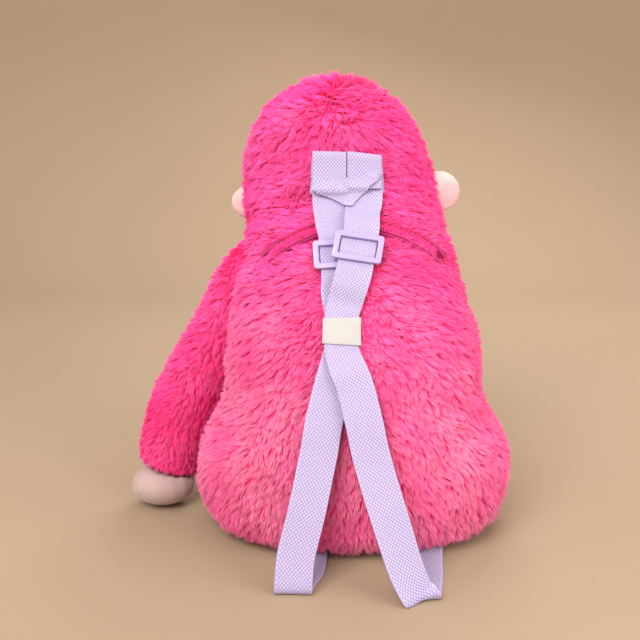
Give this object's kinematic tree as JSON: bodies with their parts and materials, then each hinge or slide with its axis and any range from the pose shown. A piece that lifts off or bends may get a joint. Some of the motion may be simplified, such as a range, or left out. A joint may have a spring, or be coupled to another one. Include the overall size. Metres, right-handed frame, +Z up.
{
  "type": "plush animal backpack",
  "caption": "Seated plush ape whose furry body is a zipped bag, with arched back zip, webbing shoulder straps, slide buckles and a hanging loop; limbs and face stuffed",
  "frame": {"origin": "centre of the flat seat, on the floor", "axes": "+Z up, +Y out of the face, so the zip and the straps are on the -Y side; -X is the ape's left"},
  "size_m": [0.2927, 0.2861, 0.3308],
  "materials": {
    "pink_fur": "long hot-pink pile",
    "pale_velboa": "short pale-pink nap",
    "lavender_web": "woven webbing, slight sheen",
    "lavender_plastic": "gloss",
    "zip_pink": "satin coil and tape",
    "white_paper": "plain paper",
    "black_plastic": "gloss"
  },
  "bodies": {
    "root": {"torso": "pink_fur", "head": "pink_fur", "arm_left": "pink_fur", "arm_right": "pink_fur", "leg_left": "pink_fur", "leg_right": "pink_fur", "hand_left": "pale_velboa", "hand_right": "pale_velboa", "foot_left": "pale_velboa", "foot_right": "pale_velboa", "ear_left": "pale_velboa", "ear_right": "pale_velboa", "face_patch": "pale_velboa", "muzzle": "pale_velboa", "eye_left": "black_plastic", "eye_right": "black_plastic", "zip_tape_upper": "zip_pink", "zip_tape_lower": "zip_pink", "zip_teeth": "zip_pink", "zip_slider": "zip_pink", "anchor_patch": "lavender_web", "grab_loop": "lavender_web", "strap_left": "lavender_web", "strap_right": "lavender_web", "tri_glide_left": "lavender_plastic", "tri_glide_right": "lavender_plastic", "strap_band": "white_paper"}
  },
  "joints": []
}
